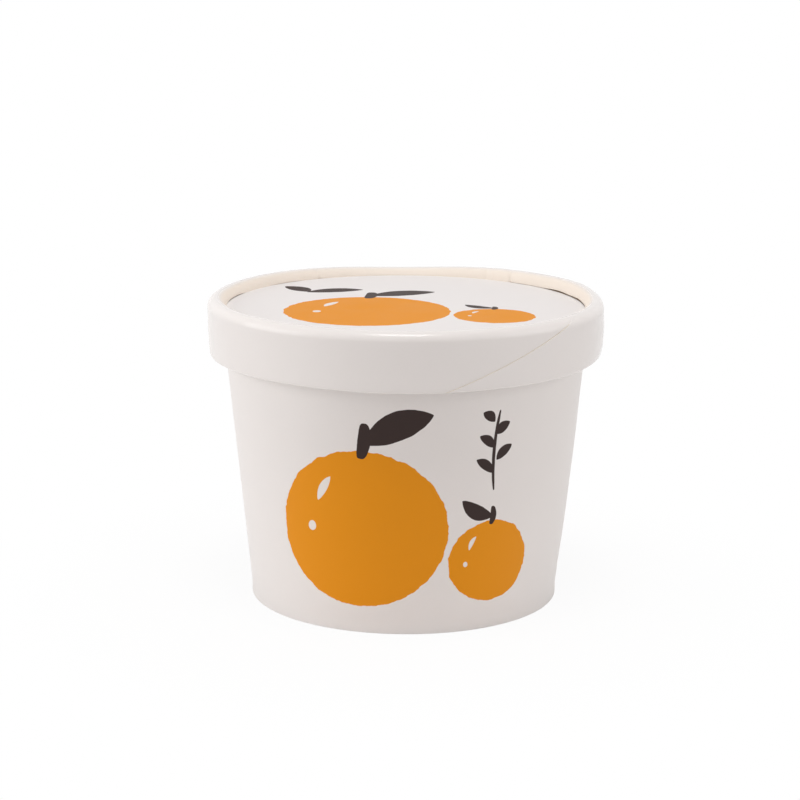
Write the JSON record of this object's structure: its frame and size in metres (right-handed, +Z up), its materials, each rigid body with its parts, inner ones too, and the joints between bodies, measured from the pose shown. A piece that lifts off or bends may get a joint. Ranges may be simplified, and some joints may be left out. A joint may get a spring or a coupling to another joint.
{
  "type": "paper dessert cup",
  "caption": "Tapered paperboard dessert cup with a recessed base, a rolled rim and a press-on paper lid whose sunken disc is held in a wound ring.",
  "frame": {"origin": "middle of the cup's foot, at the level it stands on", "axes": "+Z up the cup's axis, -Y towards the printed front, +X to the right of it"},
  "size_m": [0.0934, 0.0934, 0.0717],
  "materials": {
    "wall_board": "white coated board with a flat printed fruit motif",
    "base_board": "uncoated white board",
    "ring_board": "white coated board",
    "disc_board": "white coated board with a flat printed fruit motif"
  },
  "bodies": {
    "cup": {"cup_wall": "wall_board", "cup_base": "base_board"},
    "lid": {"lid_ring": "ring_board", "lid_disc": "disc_board"}
  },
  "joints": [
    {"name": "lid_lift", "type": "slide", "parent": "cup", "child": "lid", "axis": [0, 0, 1], "range_m": [0, 0.06]}
  ]
}
